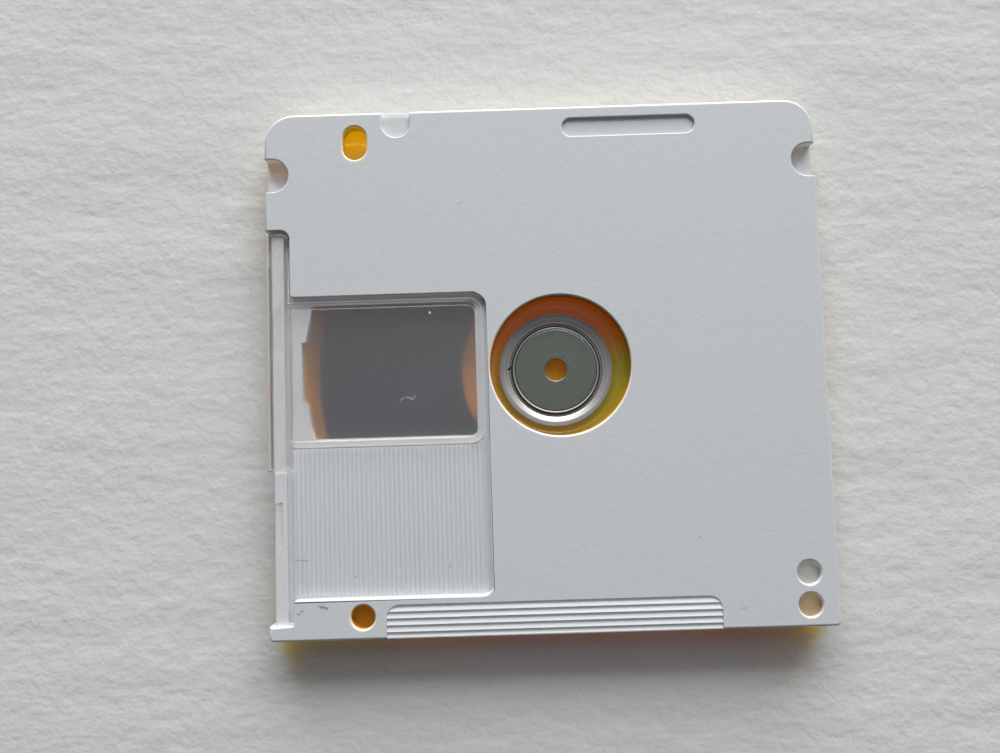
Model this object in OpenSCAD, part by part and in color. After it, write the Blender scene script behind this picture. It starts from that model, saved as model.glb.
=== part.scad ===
// Optical disc cartridge, lying on its label side with its underside up.
// All lengths are in millimetres. X runs across the cartridge, from the shutter edge to the plain
// edge, +Y is the way it goes into a drive, and Z = 0 is the label face.

/* [Cartridge] */
// Wall between the disc room and the leading and trailing edges
end_wall = 1; // [1:0.05:2]
// Width beside the disc room that takes the shutter's bar and the lock
bar_side = 4.85; // [4.6:0.05:6]
// Width beside the disc room on the plain side
plain_side = 1.15; // [1.1:0.05:2]
// Radius of the two corners that enter first
front_corner_r = 3.8; // [3:0.1:5]
// Radius of the two trailing corners
rear_corner_r = 0.6; // [0.4:0.1:1.5]
// Chamfer that breaks the outer edges of both faces
edge_chamfer = 0.22; // [0.1:0.02:0.4]
// Height of the parting line between the shells
parting_z = 2.4; // [2.2:0.05:2.6]
// Thickness of the outer side walls
side_wall = 1.2; // [1:0.05:1.4]
// Thickness of the upper shell's plate on the label side
label_plate = 1; // [0.9:0.05:1.1]
// Thickness that is left of the lower shell under the recess of the shutter
window_floor = 0.45; // [0.4:0.05:0.8]
// Wall between the disc room and the corner pockets
ring_wall = 1; // [0.8:0.05:1.2]
// Height of the tongue that closes the parting line
tongue_h = 0.5; // [0.3:0.05:0.7]
// Thickness of the tongue
tongue_t = 0.4; // [0.3:0.05:0.5]
// Depth of the label recess
label_recess = 0.2; // [0.1:0.05:0.3]
// Margin that is left around the label recess
label_margin = 3; // [2.5:0.1:5]

/* [Disc] */
// Diameter of the disc
disc_d = 64; // [58:0.5:72]
// Thickness of the disc
disc_t = 1.2; // [1.1:0.05:1.25]
// Hole through the clear plastic of the disc
disc_hole_d = 11; // [10:0.1:11.6]
// Room between the centred disc and the wall around it
disc_play = 1; // [0.9:0.05:1.1]
// Free height over the disc
disc_headroom = 1; // [0.9:0.05:1.4]
// How far the loose disc has slid along X
disc_slip_x = -0.45; // [-0.6:0.05:0]
// How far the loose disc has slid along Y
disc_slip_y = -0.45; // [-0.6:0.05:0]
// Chamfer around the hole of the disc
disc_hole_chamfer = 0.5; // [0.2:0.05:0.6]
// Inner radius of the mirror layer
mirror_in_r = 12.4; // [12:0.1:14.5]
// Bare rim outside the mirror layer
mirror_margin = 0.7; // [0.5:0.1:1.5]
// Thickness of the mirror layer
mirror_t = 0.05; // [0.04:0.01:0.1]
// Height of the seat ring under the disc
seat_h = 0.3; // [0.2:0.05:0.35]
// Distance of the seat ring from the edge of the spindle opening
seat_clear = 0.95; // [0.6:0.05:1.3]
// Width of the seat ring
seat_w = 1; // [0.6:0.1:1.5]

/* [Clamping plate] */
// Diameter of the steel plate
plate_d = 14.9; // [14:0.1:15.2]
// Thickness of the steel sheet
plate_t = 0.3; // [0.2:0.05:0.35]
// Diameter of the plate's centre hole
plate_hole_d = 2.85; // [2.5:0.05:3.2]
// Room around the raised middle in the hole of the disc
dish_gap = 0.3; // [0.2:0.05:0.6]
// Height of the raised middle
dish_h = 0.35; // [0.2:0.05:0.4]
// Width of the sloping step around the raised middle
dish_slope = 0.4; // [0.3:0.05:0.5]

/* [Spindle opening] */
// Diameter of the opening for the drive's spindle
spindle_d = 18.1; // [17:0.1:18.4]
// Bevel around the mouth of the spindle opening
spindle_bevel = 0.2; // [0.1:0.05:0.3]

/* [Shutter] */
// Gap between the panel's end and the wall of its recess
panel_gap = 0.5; // [0.3:0.05:0.7]
// Thickness of the clear middle of the panel
panel_t = 0.42; // [0.35:0.01:0.46]
// Height of the raised rim over the panel
rim_h = 0.27; // [0.15:0.01:0.3]
// Width of the raised rim
rim_w = 1; // [0.7:0.05:1.2]
// Outer corner radius of the panel
panel_corner_r = 1.9; // [1.5:0.1:2.2]
// Gap between the closed bar and the front end of its track
bar_gap = 0.45; // [0.3:0.05:0.6]
// Thickness of the bar over the shell
bar_t = 0.5; // [0.4:0.02:0.6]
// Thickness of the wall that the bar turns down over the side
skirt_t = 0.55; // [0.45:0.01:0.6]
// Reach of the hook at the foot of that wall
hook_reach = 0.5; // [0.3:0.05:0.5]
// Height of the hook
hook_h = 0.42; // [0.3:0.02:0.5]
// Running gap of the shutter
slide_gap = 0.1; // [0.06:0.01:0.12]
// Gap between the side wall of the shutter and the shells
side_gap = 0.15; // [0.1:0.01:0.2]
// How far the shutter lies under the face of the shell
flush_gap = 0.1; // [0.05:0.01:0.15]
// Room that is left behind the panel at the end of the travel
end_play = 0.3; // [0.2:0.05:0.5]
// Room that is left behind the bar at the end of the travel
bar_end_play = 0.8; // [0.4:0.05:1.5]

/* [Shutter recess] */
// Land between the recess and the spindle opening
recess_land = 0.3; // [0.3:0.05:1]
// Distance of the recess's front wall from the disc room's axis
recess_reach = 9.75; // [9:0.05:11]
// Distance of the recess's rear wall from the trailing edge
recess_tail = 5.15; // [4.5:0.05:6]
// Room between the closed panel and the front wall of the recess
recess_front_gap = 0.6; // [0.4:0.05:0.7]
// Inner corner radius of the recess
recess_corner_r = 1.8; // [1.5:0.1:2]
// Pitch of the fine ribs on the recess floor
rib_pitch = 0.6; // [0.5:0.05:1]
// Height of the fine ribs
rib_h = 0.06; // [0.03:0.01:0.08]
// How far the panel laps over the front end of the head window
window_lap = 0.45; // [0.3:0.05:1]
// How far the panel laps over the rear end of the head window
window_rear_lap = 1.15; // [0.5:0.05:1.5]
// Corner radius of the head window
window_corner_r = 1; // [0.6:0.1:1.6]
// Width of the notch in the window's outer end
window_notch_w = 7.9; // [6:0.1:9]
// Depth of that notch beyond the wall of the disc room
window_notch = 0.35; // [0.2:0.05:0.5]
// Width of the track of the side bar
track_w = 3.1; // [3:0.05:3.3]
// Distance of the track's front end from the leading edge
track_head = 15.35; // [14:0.05:17]
// Width of the guide groove in the track
groove_w = 0.85; // [0.8:0.05:0.95]
// Depth of the guide groove under the track
groove_drop = 0.8; // [0.6:0.05:0.85]
// Middle of the rear dip in the rail beside the track, from the track's rear end
dip_rear = 12.6; // [8:0.1:14]
// Distance between the two dips
dip_pitch = 24.9; // [20:0.1:30]
// Length of a dip
dip_l = 5.4; // [4:0.1:7]
// Width of a dip
dip_w = 1; // [0.6:0.05:1.2]
// Depth of a dip
dip_depth = 0.15; // [0.1:0.05:0.3]
// Length of the block behind the rear end of the track
tail_block = 1.9; // [1.6:0.1:2.5]

/* [Shutter lock] */
// Distance from the shutter edge to the pivot of the lock
lock_pivot_x = 2.8; // [2.75:0.05:3]
// Distance of the pivot beyond the front end of the track
lock_lead = 2.15; // [2:0.05:2.4]
// Radius of the pivot post
lock_post_r = 0.7; // [0.6:0.05:0.8]
// Radial clearance on the pivot post
lock_bore_gap = 0.06; // [0.04:0.01:0.1]
// Radius of the lock's eye
lock_eye_r = 1.35; // [1.25:0.05:1.4]
// Length of the lock's arm from the pivot to the tooth
lock_arm = 6.4; // [6:0.1:7]
// Thickness of the lock
lock_t = 1; // [0.9:0.05:1]
// Thickness of the lock's spring arm
spring_t = 0.45; // [0.35:0.05:0.6]
// Length of the spring arm
spring_l = 6.5; // [6:0.1:7.5]

/* [Holes and recesses] */
// Distance of the locating hole and slot from the shutter edge
locating_x = 11.85; // [11:0.05:12.5]
// Diameter of the round locating hole
locating_d = 3.05; // [2.9:0.05:3.2]
// Distance of the round locating hole from the trailing edge
locating_rear = 2.8; // [2.7:0.1:3.5]
// Distance of the locating slot's middle from the leading edge
slot_front = 4; // [3.8:0.1:5]
// Width of the locating slot
slot_w = 3.1; // [2.9:0.05:3.3]
// Length of the locating slot
slot_l = 4.5; // [4:0.1:5]
// Depth at which the upper shell closes the locating hole and slot
hole_depth = 1.9; // [1.7:0.05:2]
// Thickness of the lower shell's rim over the lining of those holes
hole_rim = 0.6; // [0.5:0.05:0.8]
// Wall of the lining that the upper shell puts into those holes
lining_t = 0.35; // [0.3:0.05:0.4]
// Diameter of the two sensing recesses
sense_d = 3; // [2.6:0.1:3.1]
// Depth of the sensing recesses
sense_depth = 0.7; // [0.6:0.05:0.8]
// Distance of the sensing recesses from the plain edge
sense_x = 3.7; // [3.4:0.1:5]
// Distance of the first sensing recess from the trailing edge
sense_rear = 2.7; // [2.6:0.1:3.2]
// Spacing of the two sensing recesses
sense_pitch = 4.05; // [3.9:0.05:5]
// Radius of the notches in both side edges
notch_r = 2.2; // [1.8:0.05:2.4]
// Reach of the side notches into the cartridge
notch_reach = 3.1; // [2.8:0.05:3.3]
// Distance of the side notches from the leading edge
notch_front = 8.05; // [7.5:0.05:9]
// Depth of the side notches
notch_depth = 1.8; // [1.5:0.05:1.9]
// Width of the half-moon recess on the leading edge
moon_w = 3.7; // [3:0.1:4.5]
// Reach of the half-moon recess from the leading edge
moon_reach = 3.4; // [2.8:0.1:4]
// Distance of the half-moon recess from the shutter edge
moon_x = 17.3; // [16:0.1:20]
// Depth of the half-moon recess
moon_depth = 0.55; // [0.3:0.05:0.7]
// Length of the long oval recess
oval_l = 17.4; // [12:0.1:20]
// Width of the long oval recess
oval_w = 2.45; // [2:0.05:3]
// Distance of the oval recess from the plain edge
oval_x = 15.5; // [13:0.1:18]
// Distance of the oval recess from the leading edge
oval_front = 1.55; // [1.3:0.05:2]
// Depth of the oval recess
oval_depth = 0.4; // [0.2:0.05:0.6]

/* [Grip] */
// Width of the grip ridges
grip_w = 42.3; // [30:0.1:50]
// Number of grip ridges
grip_count = 5; // [3:1:5]
// Pitch of the grip ridges
grip_pitch = 0.84; // [0.7:0.02:0.86]
// Depth of the grip ridges
grip_depth = 0.4; // [0.2:0.05:0.5]
// Radius of the front corners of the grip
grip_corner_r = 1.6; // [1:0.1:2]

/* [Assembly posts] */
// Radius of the posts that join the shells
post_r = 1.6; // [1.4:0.1:1.8]
// Radius of the pin inside a post
pin_r = 0.8; // [0.6:0.05:0.9]
// Radial clearance of a pin in its post
pin_gap = 0.05; // [0.03:0.01:0.1]
// Distance of each post from the two side walls of its pocket
post_inset = 3.6; // [3.4:0.1:4]

/* [Hidden] */
$fn = 96;
eps = 0.02;

// Disc room, which sets the size of the cartridge
disc_gap = 0.1;
room_r = disc_d / 2 + disc_play;
ring_r = room_r + ring_wall;
cartridge_w = bar_side + 2 * room_r + plain_side;
cartridge_l = 2 * (room_r + end_wall);
axis_x = (bar_side - plain_side) / 2;

// Heights, from the label face up
track_depth = bar_t + slide_gap + flush_gap;
recess_depth = rib_h + slide_gap + panel_t + rim_h + flush_gap;
disc_z = label_plate + seat_h + disc_gap;
room_top = disc_z + disc_t + disc_headroom;
top = room_top + window_floor + recess_depth;

// Edges of the cartridge
left = -cartridge_w / 2;
right = cartridge_w / 2;
front = cartridge_l / 2;
rear = -cartridge_l / 2;

// Disc
disc_x = axis_x + disc_slip_x;
disc_y = disc_slip_y;
plate_room = 0.15;
flange_z = disc_z + plate_room / 3;
flange_bed = flange_z + plate_t;
seat_in_r = spindle_d / 2 + seat_clear;
guard_h = 0.2;
guard_w = 1;

// Shutter: the panel lies over the recess, the bar over the track, and the travel is what the
// recess leaves when the panel has half of it
recess_z = top - recess_depth;
recess_right = axis_x - spindle_d / 2 - recess_land;
recess_front = recess_reach;
recess_rear = rear + recess_tail;
panel_l = (recess_front - recess_rear - recess_front_gap) / 2;
shutter_travel = panel_l - end_play;
panel_z = recess_z + rib_h + slide_gap;
panel_front = recess_front - recess_front_gap;
panel_rear = panel_front - panel_l;
panel_right = recess_right - panel_gap;
track_z = top - track_depth;
track_right = left + track_w;
track_front = front - track_head;
track_rear = rear + tail_block;
track_corner_r = 1.2;
set_back = left + skirt_t + side_gap;
groove_z = track_z - groove_drop;
groove_left = track_right - groove_w;
groove_side = 0.5;
groove_roof = groove_z - 0.6;
bar_front = track_front - bar_gap;
bar_rear = track_rear + shutter_travel + bar_end_play;
bar_l = bar_front - bar_rear;
bar_z = track_z + slide_gap;
bar_top = bar_z + bar_t;
guide_t = groove_w - 2 * slide_gap;
guide_left = groove_left + slide_gap;
guide_right = guide_left + guide_t;
lip_z = label_plate - slide_gap;
hook_z = lip_z + slide_gap;
hook_slot_h = hook_h + 2 * slide_gap;
skirt_in = left + skirt_t;
hook_in = skirt_in + hook_reach;
hook_slot_in = hook_in + slide_gap + 0.05;
strip_wall_in = hook_slot_in + 0.5;
corner_soft = 0.5;

// Head window
window_right = panel_right - rim_w + 0.05;
window_front = panel_front - window_lap;
window_rear = panel_rear + window_rear_lap;

// Shutter lock, kept under the groove's roof
lock_x = left + lock_pivot_x;
lock_y = track_front + lock_lead;
lock_z = label_plate + 0.5;
lock_top = lock_z + lock_t;
lock_tip_x = skirt_in + 0.1;
tooth_y = lock_y - lock_arm;
tooth_w = 1.6;
tooth_slot = 0.45;
lock_arm_w = 1.1;
spring_y = lock_y + 0.6;
spring_end_x = lock_x + spring_l;
stop_r = 0.6;
lock_hub_gap = 0.12;
lock_play = 0.15;
lock_boss_w = 0.4;
groove_roof_rear = tooth_y - 5;
groove_roof_l = track_front + 1 - groove_roof_rear;

// Holes
locating_px = left + locating_x;
locating_py = rear + locating_rear;
slot_py = front - slot_front;
sense_px = right - sense_x;
sense_py = [rear + sense_rear, rear + sense_rear + sense_pitch];
hole_z = top - hole_depth;
rim_z = top - hole_rim;
tube_wall = 0.9;
lining_gap = 0.05;
notch_y = front - notch_front;
notch_x = [left + notch_reach - notch_r, right - notch_reach + notch_r];

// Posts in two pockets that hold nothing else
post_side = side_wall + post_inset;
pin_z = label_plate + 0.5;
posts = [[right - post_side, front - post_side], [left + post_side, rear + post_side]];

// A plate with its own radius at each corner: rear left, rear right, front right, front left
module round_plate(x0, x1, y0, y1, r) {
    c = [[x0 + r[0], y0 + r[0]], [x1 - r[1], y0 + r[1]], [x1 - r[2], y1 - r[2]], [x0 + r[3], y1 - r[3]]];
    polygon([
        [c[0].x, y0], [c[1].x, y0], [x1, c[1].y], [x1, c[2].y],
        [c[2].x, y1], [c[3].x, y1], [x0, c[3].y], [x0, c[0].y]
    ]);
    for (i = [0 : 3]) if (r[i] > 0) translate(c[i]) circle(r[i]);
}

// Fills a concave corner with a fillet: dx and dy point from the corner into the open side
module fillet(x, y, r, dx, dy) {
    difference() {
        translate([min(x, x + dx * r), min(y, y + dy * r)]) square(r);
        translate([x + dx * r, y + dy * r]) circle(r);
    }
}

module outline() {
    round_plate(left, right, rear, front, [rear_corner_r, rear_corner_r, front_corner_r, front_corner_r]);
}

// One edge-breaking wedge along X, turned to each side by its caller
module edge_wedge(length) {
    c = edge_chamfer;
    rotate([90, 0, 90])
        translate([0, 0, -length / 2])
            linear_extrude(length) polygon([[-c, eps], [eps, eps], [eps, -c]]);
}

// What the chamfer takes off a rounded corner that is centred on the origin
module corner_wedge(r) {
    rotate_extrude(angle = 90) polygon([[r - edge_chamfer, eps], [r + eps, eps], [r + eps, -edge_chamfer]]);
}

// The chamfer around the whole outline, at the height z, facing up
module edge_break(z) {
    fr = front_corner_r;
    rr = rear_corner_r;
    translate([0, 0, z]) {
        translate([0, front, 0]) edge_wedge(cartridge_w - 2 * fr);
        translate([0, rear, 0]) mirror([0, 1, 0]) edge_wedge(cartridge_w - 2 * rr);
        translate([right, (rr - fr) / 2, 0]) rotate(-90) edge_wedge(cartridge_l - fr - rr);
        translate([left, (rr - fr) / 2, 0]) rotate(90) edge_wedge(cartridge_l - fr - rr);
        translate([right - fr, front - fr, 0]) corner_wedge(fr);
        translate([left + fr, front - fr, 0]) rotate(90) corner_wedge(fr);
        translate([left + rr, rear + rr, 0]) rotate(180) corner_wedge(rr);
        translate([right - rr, rear + rr, 0]) rotate(270) corner_wedge(rr);
    }
}

// The hollow corners between the ring wall and the side walls
module pockets() {
    difference() {
        round_plate(left + side_wall, right - side_wall, rear + side_wall, front - side_wall,
            [0.5, 0.5, front_corner_r - side_wall, front_corner_r - side_wall]);
        translate([axis_x, 0]) circle(ring_r);
        // The side stays solid under the track, apart from the bay of the shutter lock
        translate([left, rear]) square([strip_wall_in - left, track_front + 1 - rear]);
        translate([left, rear]) square([track_w + groove_side, tooth_y - 4 - rear]);
    }
}

// Where the side of both shells is set back for the shutter's wall
module side_cut() {
    translate([left - 1, track_rear]) square([1 + set_back - left, track_front - track_rear]);
}

// The track of the side bar and the recess of the panel
module shutter_plan() {
    round_plate(left - 1, track_right, track_rear, track_front, [0, 0.3, track_corner_r, 0]);
    round_plate(track_right - 1, recess_right, recess_rear, recess_front,
        [0, recess_corner_r - 0.3, recess_corner_r, 0]);
    fillet(track_right, recess_front, corner_soft, 1, 1);
    fillet(track_right, recess_rear, corner_soft, 1, -1);
}

// The opening that the read head looks through
module head_window() {
    intersection() {
        round_plate(left, window_right, window_rear, window_front, [0, window_corner_r, window_corner_r, 0]);
        translate([axis_x, 0]) circle(room_r + 0.1);
    }
    translate([axis_x - room_r - window_notch - 0.1, -window_notch_w / 2]) square([2, window_notch_w]);
}

module slot_plan(w, l) {
    for (s = [-1, 1]) translate([0, s * (l - w) / 2]) circle(w / 2);
    square([w, l - w], center = true);
}

// Fine ribs that stiffen the thin floor behind the window
module floor_ribs() {
    rib_front = window_rear - 0.5;
    rib_rear = recess_rear + 0.25;
    x0 = track_right + 0.35;
    x1 = recess_right - 1.3;
    for (i = [0 : floor((x1 - x0) / rib_pitch)])
        translate([x0 + i * rib_pitch, rib_rear, recess_z - eps])
            cube([rib_pitch / 2, rib_front - rib_rear, rib_h + eps]);
}

// Ridges that fall away towards the trailing edge, with a straight drop at the front of each
module grip_ridges() {
    slope = [for (i = [0 : grip_count - 1])
        each [[rear + i * grip_pitch, 0], [rear + (i + 1) * grip_pitch, -grip_depth]]];
    y1 = rear + grip_count * grip_pitch;
    intersection() {
        translate([-grip_w / 2, 0, top])
            rotate([90, 0, 90])
                linear_extrude(grip_w)
                    polygon(concat([[rear - 1, 1], [rear - 1, 0]], slope, [[y1, 1]]));
        translate([0, 0, top - 1])
            linear_extrude(2)
                round_plate(-grip_w / 2, grip_w / 2, rear - 1, y1, [0, 0, grip_corner_r, grip_corner_r]);
    }
}

// The locating hole and slot, grown by a lap, for the holes and for what lines them
module locators(lap, h) {
    translate([locating_px, locating_py]) cylinder(r = locating_d / 2 + lap, h = h);
    translate([locating_px, slot_py]) linear_extrude(h) slot_plan(slot_w + 2 * lap, slot_l + 2 * lap);
}

// Solid seats that stand in the pockets of the lower shell, down to the parting line
module lower_seats() {
    translate([locating_px, locating_py]) circle(locating_d / 2 + tube_wall);
    translate([locating_px, slot_py]) slot_plan(slot_w + 2 * tube_wall, slot_l + 2 * tube_wall);
    for (x = notch_x) translate([x, notch_y]) circle(notch_r + tube_wall);
    for (p = posts) translate(p) circle(post_r);
}

module lower_shell() {
    color([0.74, 0.75, 0.77])
    difference() {
        union() {
            difference() {
                translate([0, 0, parting_z]) linear_extrude(top - parting_z) outline();
                translate([axis_x, 0, parting_z - 1]) cylinder(r = room_r, h = room_top - parting_z + 1);
                translate([0, 0, parting_z - 1]) linear_extrude(room_top - parting_z + 1) pockets();
            }
            // Everything that hangs into the pockets stays inside the outline
            translate([0, 0, parting_z])
                linear_extrude(room_top - parting_z + eps)
                    intersection() {
                        lower_seats();
                        outline();
                    }
            // Roof of the guide groove, over the lock
            translate([groove_left - groove_side, groove_roof_rear, groove_roof])
                cube([groove_w + 2 * groove_side, groove_roof_l, room_top - groove_roof + eps]);
            // Boss that keeps the lock on its post
            translate([lock_x, lock_y, lock_top + lock_play])
                cylinder(r = lock_post_r + lock_boss_w, h = room_top - lock_top - lock_play + eps);
            for (p = posts) translate([p.x, p.y, pin_z]) cylinder(r = pin_r, h = room_top - pin_z);
            // Rim around the spindle opening that keeps the disc off the plate
            translate([axis_x, 0, room_top - guard_h])
                difference() {
                    cylinder(r = spindle_d / 2 + guard_w, h = guard_h + eps);
                    translate([0, 0, -1]) cylinder(d = spindle_d, h = 2);
                }
        }
        edge_break(top);
        // Rebate for the tongue of the other shell
        translate([axis_x, 0, parting_z - 1]) cylinder(r = room_r + tongue_t + 0.05, h = tongue_h + 1.05);
        translate([axis_x, 0, room_top - 1]) cylinder(d = spindle_d, h = top);
        translate([axis_x, 0, top - spindle_bevel])
            cylinder(r1 = spindle_d / 2, r2 = spindle_d / 2 + spindle_bevel + eps, h = spindle_bevel + eps);
        // Recess and track of the shutter
        translate([0, 0, recess_z])
            linear_extrude(top)
                intersection() {
                    shutter_plan();
                    translate([track_right - eps, rear]) square([cartridge_w, cartridge_l]);
                }
        translate([0, 0, track_z])
            linear_extrude(top)
                intersection() {
                    shutter_plan();
                    translate([left - 1, rear]) square([1 + track_w, cartridge_l]);
                }
        translate([groove_left, track_rear + 0.2, groove_z])
            cube([groove_w, track_front - track_corner_r - track_rear, top]);
        translate([0, 0, parting_z - 1]) linear_extrude(top) side_cut();
        for (i = [0, 1]) rail_dip(track_rear + dip_rear + i * dip_pitch);
        translate([0, 0, room_top - 1]) linear_extrude(top) head_window();
        lock_slot();
        // Holes, notches and shallow recesses of the underside
        translate([0, 0, parting_z - 1]) locators(lining_t + lining_gap, rim_z - parting_z + 1);
        translate([0, 0, rim_z - eps]) locators(0, top);
        for (y = sense_py) translate([sense_px, y, top - sense_depth]) cylinder(d = sense_d, h = top);
        for (s = [0, 1])
            translate([0, 0, top - notch_depth])
                linear_extrude(top) {
                    translate([notch_x[s], notch_y]) circle(notch_r);
                    translate([s == 0 ? left - 1 : notch_x[1], notch_y - notch_r])
                        square([1 + notch_reach - notch_r, 2 * notch_r]);
                }
        translate([left + moon_x, front - moon_reach + moon_w / 2, top - moon_depth])
            linear_extrude(top) {
                circle(d = moon_w);
                translate([-moon_w / 2, 0]) square([moon_w, moon_reach]);
            }
        translate([right - oval_x - oval_l / 2, front - oval_front - oval_w / 2, top - oval_depth])
            linear_extrude(top) rotate(90) slot_plan(oval_w, oval_l);
        grip_ridges();
    }
    color([0.74, 0.75, 0.77])
    intersection() {
        floor_ribs();
        translate([0, 0, room_top]) linear_extrude(top) shutter_plan();
    }
}

// Shallow dip in the rail that the bar slides on, with sloping ends
module rail_dip(y) {
    slope = 2 * dip_depth;
    translate([left - 1, y, track_z])
        rotate([90, 0, 90])
            linear_extrude(set_back + dip_w - left + 1)
                polygon([
                    [-dip_l / 2 - slope, eps], [-dip_l / 2, -dip_depth], [dip_l / 2, -dip_depth],
                    [dip_l / 2 + slope, eps]
                ]);
}

// Slot in the side walls that the tooth of the lock passes through
module lock_slot() {
    translate([left - side_wall, tooth_y - tooth_slot, lock_z - lock_play])
        cube([strip_wall_in - left + 2 * side_wall, tooth_w + 2 * tooth_slot, lock_t + 2 * lock_play]);
}

module upper_shell() {
    color([0.86, 0.55, 0.1])
    difference() {
        union() {
            difference() {
                linear_extrude(parting_z) outline();
                translate([axis_x, 0, label_plate]) cylinder(r = room_r, h = top);
                translate([0, 0, label_plate]) linear_extrude(top) pockets();
            }
            translate([axis_x, 0, parting_z - eps])
                difference() {
                    cylinder(r = room_r + tongue_t, h = tongue_h + eps);
                    translate([0, 0, -1]) cylinder(r = room_r, h = 2 + tongue_h);
                }
            // Seat ring that the disc lies on
            translate([axis_x, 0, label_plate - eps])
                difference() {
                    cylinder(r = seat_in_r + seat_w, h = seat_h + eps);
                    translate([0, 0, -1]) cylinder(r = seat_in_r, h = 2);
                }
            // Linings that close the locating hole and slot from below and line up the shells
            translate([0, 0, label_plate - eps])
                linear_extrude(parting_z - label_plate + eps)
                    intersection() {
                        lower_seats();
                        outline();
                    }
            translate([0, 0, label_plate]) locators(lining_t, rim_z - lining_gap - label_plate);
            // Pivot post of the lock, its footing and the stop of its spring arm
            translate([lock_x, lock_y, label_plate - eps]) {
                cylinder(r = lock_post_r, h = lock_top + 0.1 - label_plate + eps);
                cylinder(r = lock_eye_r - 0.1, h = lock_z - lock_hub_gap - label_plate + eps);
            }
            translate([spring_end_x - 0.7, spring_y + spring_t / 2 + stop_r + 0.08, label_plate - eps])
                cylinder(r = stop_r, h = lock_top - label_plate + eps);
        }
        mirror([0, 0, 1]) edge_break(0);
        translate([0, 0, hole_z]) locators(0, top);
        for (p = posts) translate([p.x, p.y, pin_z - 2 * pin_gap]) cylinder(r = pin_r + pin_gap, h = top);
        // The side is set back above the lip, with a groove for the shutter's hook
        translate([0, 0, lip_z]) linear_extrude(top) side_cut();
        translate([left - 1, track_rear, lip_z])
            cube([hook_slot_in - left + 1, track_front - track_rear, hook_slot_h]);
        lock_slot();
        translate([0, 0, -eps])
            linear_extrude(label_recess + eps)
                round_plate(left + label_margin, right - label_margin, rear + label_margin, front - label_margin,
                    [1.5, 1.5, 1.5, 1.5]);
    }
}

module disc_substrate() {
    bed_r = plate_d / 2 + 0.15;
    hole_r = disc_hole_d / 2;
    color([0.85, 0.9, 0.92, 0.5])
    translate([disc_x, disc_y, disc_z])
        rotate_extrude()
            polygon([
                [bed_r, 0], [disc_d / 2 - 0.1, 0], [disc_d / 2, 0.1], [disc_d / 2, disc_t - 0.1],
                [disc_d / 2 - 0.1, disc_t], [hole_r + disc_hole_chamfer, disc_t],
                [hole_r, disc_t - disc_hole_chamfer], [hole_r, flange_bed - disc_z], [bed_r, flange_bed - disc_z]
            ]);
}

module mirror_layer() {
    color([0.8, 0.81, 0.83])
    translate([disc_x, disc_y, disc_z - mirror_t])
        difference() {
            cylinder(r = disc_d / 2 - mirror_margin, h = mirror_t);
            translate([0, 0, -1]) cylinder(r = mirror_in_r, h = 2);
        }
}

// Pressed steel disc: a flat flange in the bed of the clear disc, and a raised middle
module clamping_plate() {
    flange_r = plate_d / 2;
    step_r = disc_hole_d / 2 - dish_gap;
    color([0.6, 0.6, 0.58])
    translate([disc_x, disc_y, flange_z])
        rotate_extrude()
            polygon([
                [plate_hole_d / 2, dish_h], [step_r - dish_slope, dish_h], [step_r, 0], [flange_r, 0],
                [flange_r, plate_t], [step_r, plate_t], [step_r - dish_slope, plate_t + dish_h],
                [plate_hole_d / 2, plate_t + dish_h]
            ]);
}

module shutter() {
    panel_left = guide_left;
    outer = panel_corner_r;
    inner = panel_corner_r - rim_w + 0.2;
    color([0.7, 0.7, 0.71, 0.8]) {
        difference() {
            union() {
                // Panel with its raised rim
                translate([0, 0, panel_z])
                    linear_extrude(panel_t + rim_h)
                        difference() {
                            round_plate(panel_left, panel_right, panel_rear, panel_front, [0, outer, outer, 0]);
                            round_plate(guide_right, panel_right - rim_w, panel_rear + rim_w, panel_front - rim_w,
                                [0.4, inner, inner, 0.4]);
                        }
                translate([0, 0, panel_z])
                    linear_extrude(panel_t)
                        round_plate(panel_left, panel_right - rim_w / 2, panel_rear + rim_w / 2,
                            panel_front - rim_w / 2, [0, 1, 1, 0]);
                // Fillets where the panel leaves the bar
                translate([0, 0, panel_z])
                    linear_extrude(panel_t + rim_h)
                        fillet(guide_right, panel_rear, corner_soft, 1, -1);
                // Bar over the track
                translate([0, 0, bar_z])
                    linear_extrude(bar_t)
                        round_plate(left, guide_right, bar_rear, bar_front, [0.2, 0.3, 1, 0.2]);
                // Wall over the side of the shells, with its hook
                translate([left, bar_rear, hook_z]) cube([skirt_t, bar_l, bar_top - hook_z]);
                translate([left + eps, bar_rear, hook_z]) cube([skirt_t + hook_reach - eps, bar_l, hook_h]);
                // Guide in the groove
                translate([guide_left, bar_rear, groove_z + slide_gap])
                    cube([guide_t, bar_l - 1, bar_top - groove_z - slide_gap - eps]);
            }
            // Notch that the lock's tooth catches in
            translate([left - 1, tooth_y - 0.3, lock_z - 0.1])
                cube([1 + skirt_t + eps, tooth_w + 0.6, lock_t + 0.2]);
        }
    }
}

// Lock lever with its eye, its toothed arm and a thin spring arm, drawn back from the shutter
module shutter_lock() {
    color([0.9, 0.9, 0.88])
    translate([0, 0, lock_z])
        linear_extrude(lock_t)
            difference() {
                union() {
                    translate([lock_x, lock_y]) circle(lock_eye_r);
                    translate([lock_x - lock_arm_w / 2, tooth_y]) square([lock_arm_w, lock_arm]);
                    translate([lock_tip_x, tooth_y]) square([lock_x - lock_tip_x, tooth_w]);
                    translate([lock_x, spring_y - spring_t / 2]) square([spring_l, spring_t]);
                }
                translate([lock_x, lock_y]) circle(lock_post_r + lock_bore_gap);
            }
}

lower_shell();
upper_shell();
disc_substrate();
mirror_layer();
clamping_plate();
shutter();
shutter_lock();
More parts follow.
